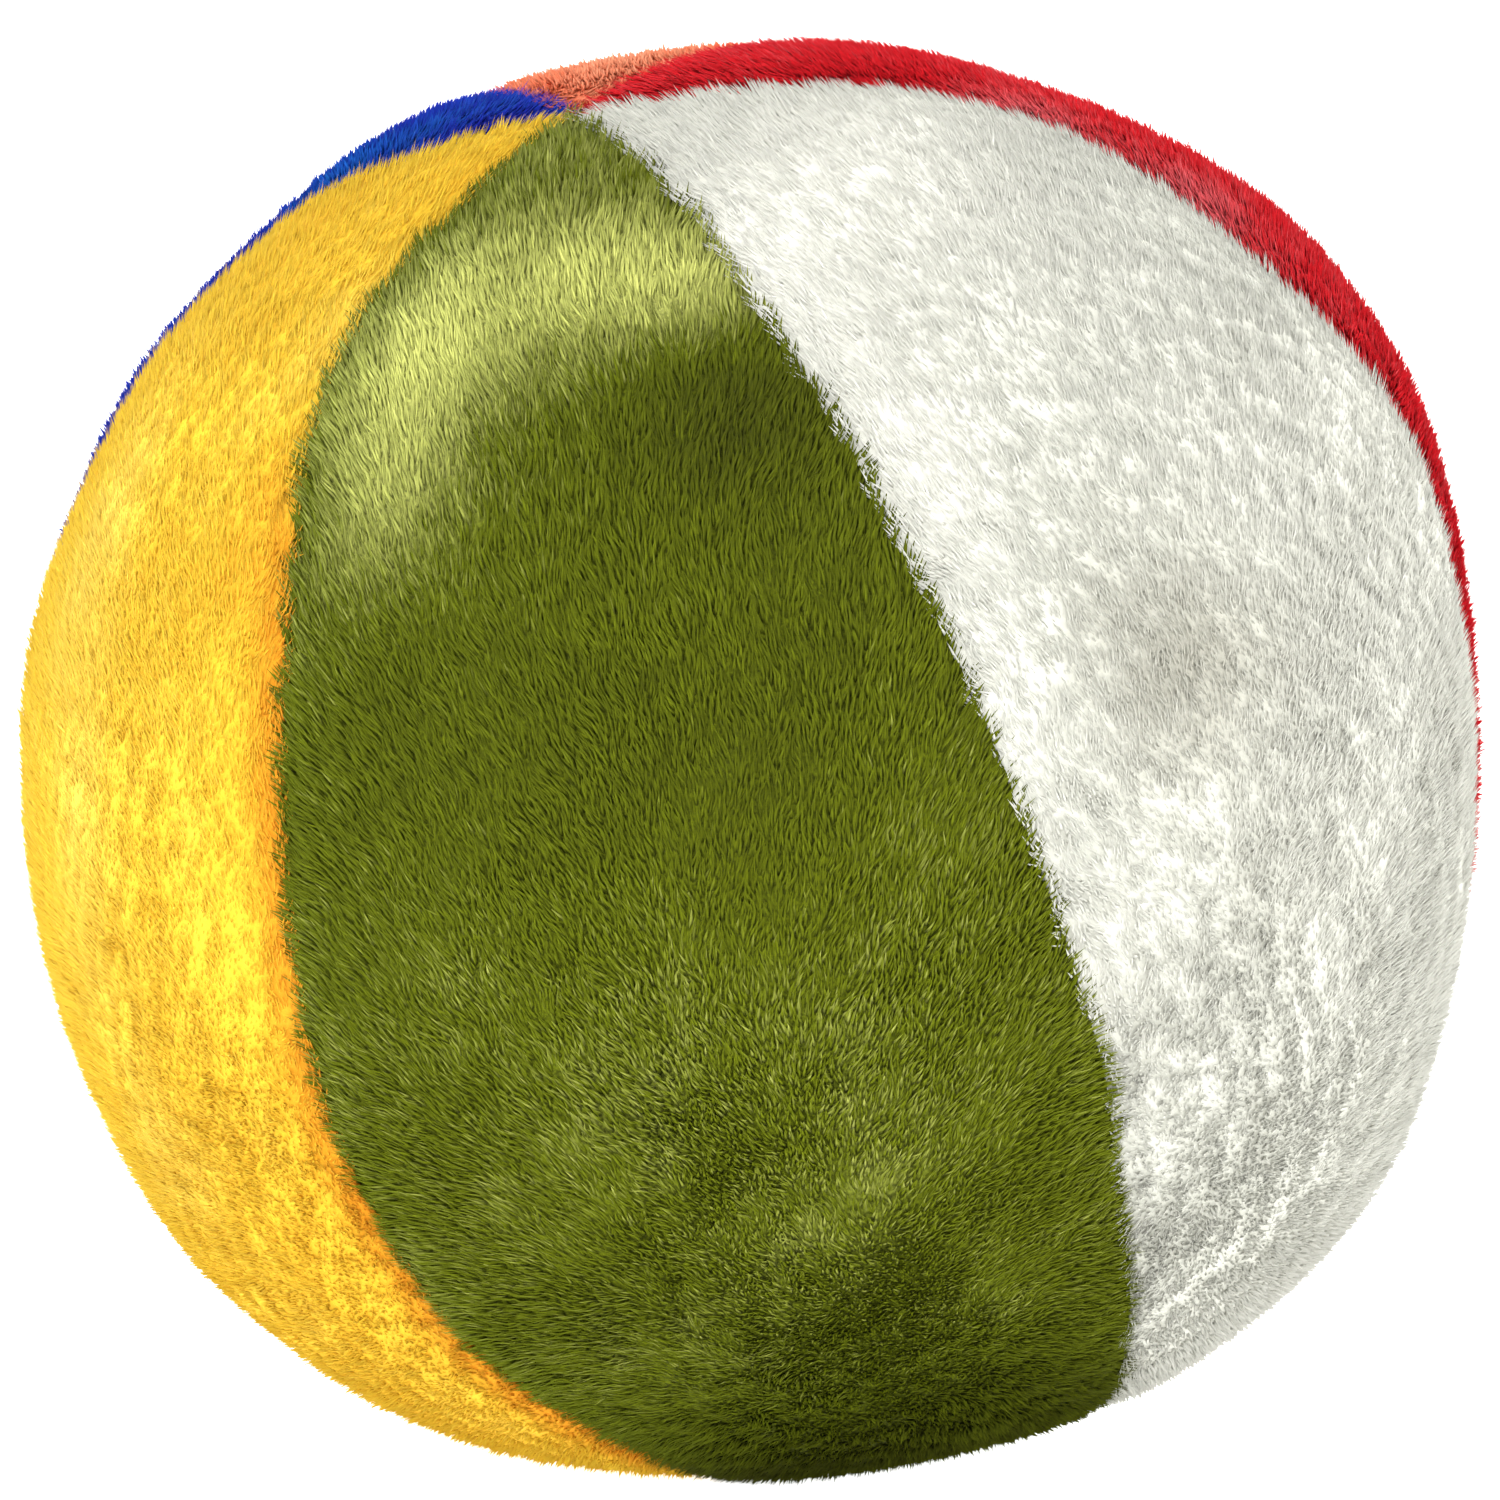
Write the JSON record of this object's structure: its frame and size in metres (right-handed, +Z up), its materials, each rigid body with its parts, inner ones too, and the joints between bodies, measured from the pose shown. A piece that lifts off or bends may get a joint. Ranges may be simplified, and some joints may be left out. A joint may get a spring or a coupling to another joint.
{
  "type": "plush beach ball",
  "caption": "Soft ball of coloured pile-fabric panels meeting at two poles, a zip-off cover over an inflatable inner ball.",
  "frame": {"origin": "middle of the flat patch that the ball rests on", "axes": "+Z up; the panels' pole line leans 25.8 degrees from +Z towards -X and -Y; the zip is at the back, on +Y"},
  "size_m": [0.4049, 0.4004, 0.3939],
  "materials": {
    "pile_green": "dense faux-fur pile about 10 mm long, combed towards the upper pole",
    "pile_white": "dense faux-fur pile about 10 mm long, combed towards the upper pole",
    "pile_red": "dense faux-fur pile about 10 mm long, combed towards the upper pole",
    "pile_orange": "dense faux-fur pile about 10 mm long, combed towards the upper pole",
    "pile_blue": "dense faux-fur pile about 10 mm long, combed towards the upper pole",
    "pile_yellow": "dense faux-fur pile about 10 mm long, combed towards the upper pole",
    "zip_tape": "woven polyester tape",
    "zip_nylon": "coiled nylon monofilament",
    "zip_metal": "nickel-plated zinc casting, satin",
    "inner_vinyl": "soft vinyl film",
    "valve_vinyl": "moulded soft vinyl"
  },
  "bodies": {
    "ball": {"panel_green": "pile_green", "panel_white": "pile_white", "panel_red": "pile_red", "panel_orange": "pile_orange", "panel_blue": "pile_blue", "panel_yellow": "pile_yellow", "zip_tape_orange_side": "zip_tape", "zip_tape_blue_side": "zip_tape", "zip_teeth_orange_side": "zip_nylon", "zip_teeth_blue_side": "zip_nylon", "zip_top_stop": "zip_metal", "zip_bottom_stop": "zip_metal", "inner_panel_1": "inner_vinyl", "inner_panel_2": "inner_vinyl", "inner_panel_3": "inner_vinyl", "inner_panel_4": "inner_vinyl", "inner_panel_5": "inner_vinyl", "inner_panel_6": "inner_vinyl", "inner_patch_top": "inner_vinyl", "inner_patch_bottom": "inner_vinyl", "valve_cup": "valve_vinyl", "stopper_strap": "valve_vinyl"},
    "slider": {"zip_slider": "zip_metal"},
    "pull": {"zip_pull": "zip_metal"},
    "stopper": {"valve_stopper": "valve_vinyl"},
    "flap": {"valve_flap": "valve_vinyl"}
  },
  "joints": [
    {"name": "zip_open", "type": "hinge", "parent": "ball", "child": "slider", "pos_m": [0, 0, 0.194], "axis": [-0.8656, -0.3427, -0.365], "range_deg": [0, 62]},
    {"name": "pull_swing", "type": "hinge", "parent": "slider", "child": "pull", "pos_m": [-0.09341, 0.15455, 0.27044], "axis": [0.8656, 0.3427, 0.365], "range_deg": [0, 150]},
    {"name": "stopper_pull_out", "type": "slide", "parent": "ball", "child": "stopper", "axis": [-0.3355, 0.9382, -0.0852], "range_m": [0, 0.01]},
    {"name": "flap_open", "type": "hinge", "parent": "ball", "child": "flap", "pos_m": [-0.05688, 0.15362, 0.18467], "axis": [-0.8656, -0.3427, -0.365], "range_deg": [0, 50]}
  ]
}
